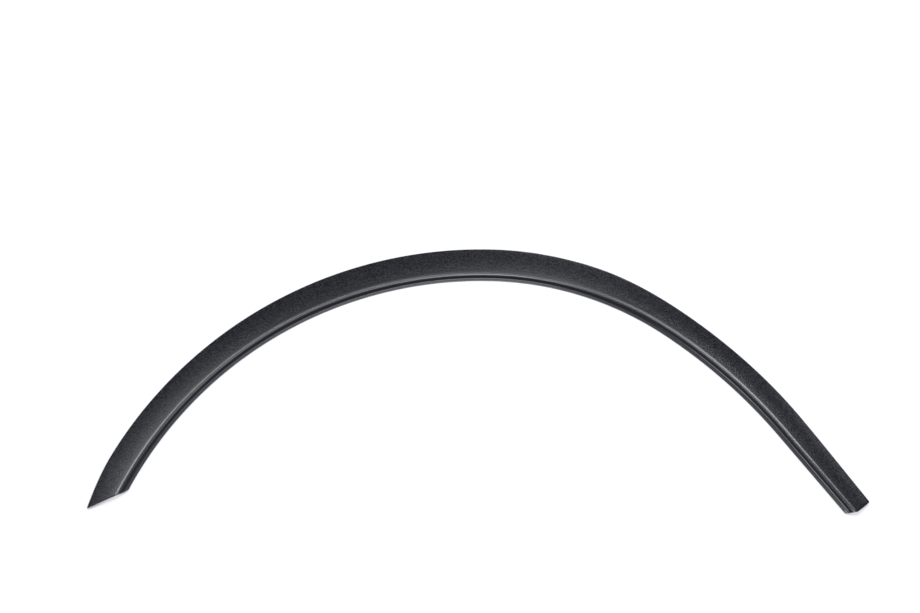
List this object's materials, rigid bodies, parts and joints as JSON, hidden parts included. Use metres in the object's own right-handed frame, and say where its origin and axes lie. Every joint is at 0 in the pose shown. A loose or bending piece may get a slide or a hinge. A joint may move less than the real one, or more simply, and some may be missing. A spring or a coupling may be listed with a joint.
{
  "type": "wheel arch trim",
  "caption": "Curved strip of grained black plastic that trims the edge of a car's wheel arch, with a rounded ridge along the wheel opening, a mitred point and a square-cut end.",
  "frame": {"origin": "under the middle of the trim's box, on the surface that it lies on", "axes": "+X from the pointed end to the square end, +Y towards the crown of the arch, +Z out of the shown face"},
  "size_m": [0.739, 0.2884, 0.0053],
  "materials": {
    "grained_plastic": "fine pebble grain, satin"
  },
  "bodies": {
    "root": {"arch_trim": "grained_plastic"}
  },
  "joints": []
}
